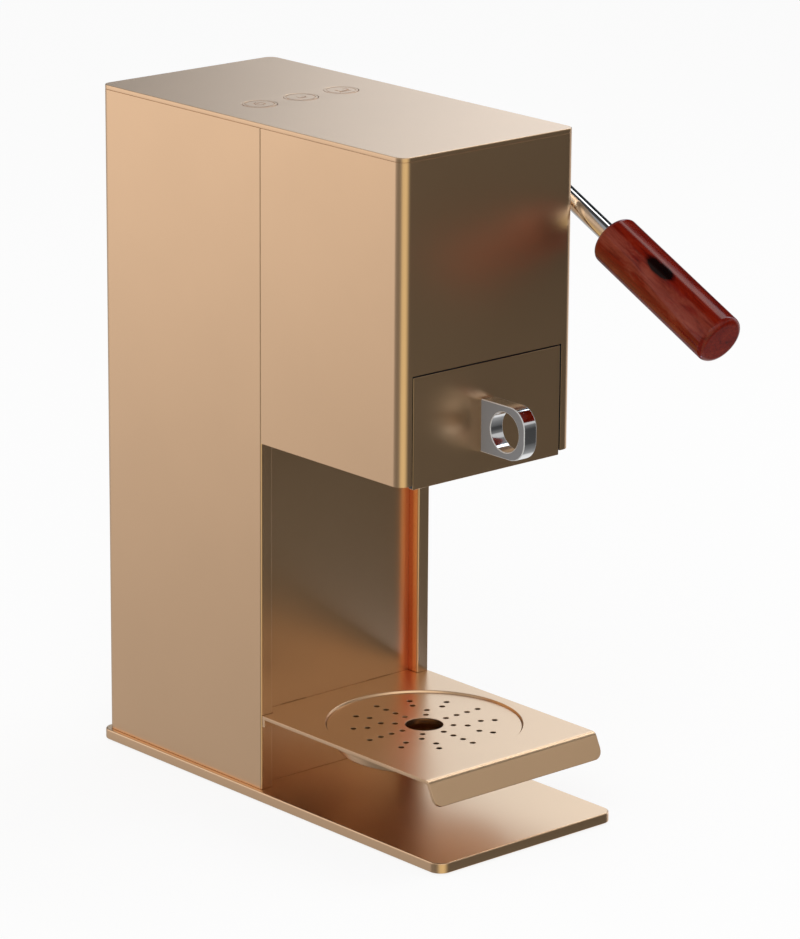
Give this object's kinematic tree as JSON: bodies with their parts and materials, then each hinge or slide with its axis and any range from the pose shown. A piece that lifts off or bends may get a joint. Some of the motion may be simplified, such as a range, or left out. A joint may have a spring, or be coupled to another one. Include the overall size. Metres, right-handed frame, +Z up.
{
  "type": "coffee maker",
  "caption": "Slim metal capsule coffee maker with an overhanging head, capsule drawer, side lever with wooden handle, removable drip tray and rear water tank.",
  "frame": {"origin": "Middle of the flat underside, on the surface that the machine stands on.", "axes": "+Z is up, the front with the capsule drawer faces -Y, and the lever is on the +X side."},
  "size_m": [0.1321, 0.3248, 0.3417],
  "materials": {
    "rose_metal": "satin anodised in a warm rose gold",
    "chrome": "polished",
    "rosewood": "polished red-brown wood",
    "steel": "plain brushed",
    "cast_frame": "as cast",
    "bronze": "turned",
    "rubber": "matt",
    "black_plastic": "fine grain",
    "silicone": "translucent white",
    "board": "solder mask",
    "tank_plastic": "smoky clear plastic, stored as plain gloss"
  },
  "bodies": {
    "housing": {"base_pad": "rubber", "base_plate": "rose_metal", "base_brackets": "steel", "base_screws": "steel", "column_shell": "rose_metal", "column_front_panel": "rose_metal", "closing_strip": "rose_metal", "head_shell": "rose_metal", "head_bolts": "steel", "top_cover": "rose_metal", "brew_frame": "cast_frame", "guide_bush": "bronze", "shaft_bushes": "bronze", "wall_bush": "bronze", "drawer_rails": "steel", "feed_tube": "steel", "boiler": "cast_frame", "boiler_bracket": "steel", "pump": "black_plastic", "pump_mounts": "rubber", "suction_hose": "silicone", "pressure_hose": "silicone", "tank_shelf": "steel", "tank_dock": "black_plastic", "tray_bracket": "cast_frame", "board_bracket": "steel", "control_board": "board", "switches": "black_plastic", "power_inlet": "black_plastic", "inlet_pins": "bronze"},
    "lever": {"lever_hub": "chrome", "lever_shaft": "steel", "lever_rod": "chrome", "lever_handle": "rosewood", "drive_gear": "bronze", "shaft_clip": "steel", "hub_screw": "chrome"},
    "brew_piston": {"piston": "steel", "piston_seal": "rubber", "shower_plate": "steel", "drive_rack": "steel"},
    "capsule_drawer": {"drawer_front": "rose_metal", "drawer_body": "black_plastic", "drawer_deck": "steel", "capsule_cup": "steel", "outlet_spout": "black_plastic", "pull_ring": "chrome", "pull_screws": "steel"},
    "drip_tray": {"tray_plate": "rose_metal", "drip_bowl": "rose_metal"},
    "drain": {"drain_plate": "rose_metal"},
    "left_button": {"button_left": "rose_metal"},
    "middle_button": {"button_middle": "rose_metal"},
    "right_button": {"button_right": "rose_metal"},
    "water_tank": {"tank_body": "tank_plastic", "tank_door": "rose_metal", "tank_valve": "black_plastic"}
  },
  "joints": [
    {"name": "lever_lift", "type": "hinge", "parent": "housing", "child": "lever", "pos_m": [0, -0.0524, 0.3216], "axis": [-1, 0, 0], "range_deg": [0, 70]},
    {"name": "piston_lift", "type": "slide", "parent": "housing", "child": "brew_piston", "axis": [0, 0, 1], "range_m": [0, 0.0099]},
    {"name": "drawer_slide", "type": "slide", "parent": "housing", "child": "capsule_drawer", "axis": [0, -1, 0], "range_m": [0, 0.075]},
    {"name": "tray_slide", "type": "slide", "parent": "housing", "child": "drip_tray", "axis": [0, -1, 0], "range_m": [0, 0.06]},
    {"name": "drain_plate_lift", "type": "slide", "parent": "drip_tray", "child": "drain", "axis": [0, 0, 1], "range_m": [0, 0.04]},
    {"name": "left_button_press", "type": "slide", "parent": "housing", "child": "left_button", "axis": [0, 0, -1], "range_m": [0, 0.0012], "stiffness_N_per_m": 800},
    {"name": "middle_button_press", "type": "slide", "parent": "housing", "child": "middle_button", "axis": [0, 0, -1], "range_m": [0, 0.0012], "stiffness_N_per_m": 800},
    {"name": "right_button_press", "type": "slide", "parent": "housing", "child": "right_button", "axis": [0, 0, -1], "range_m": [0, 0.0012], "stiffness_N_per_m": 800},
    {"name": "tank_slide", "type": "slide", "parent": "housing", "child": "water_tank", "axis": [0, 1, 0], "range_m": [0, 0.07]}
  ],
  "couplings": [
    {"joint": "piston_lift", "follows": "lever_lift", "m_per_rad": 0.008}
  ]
}
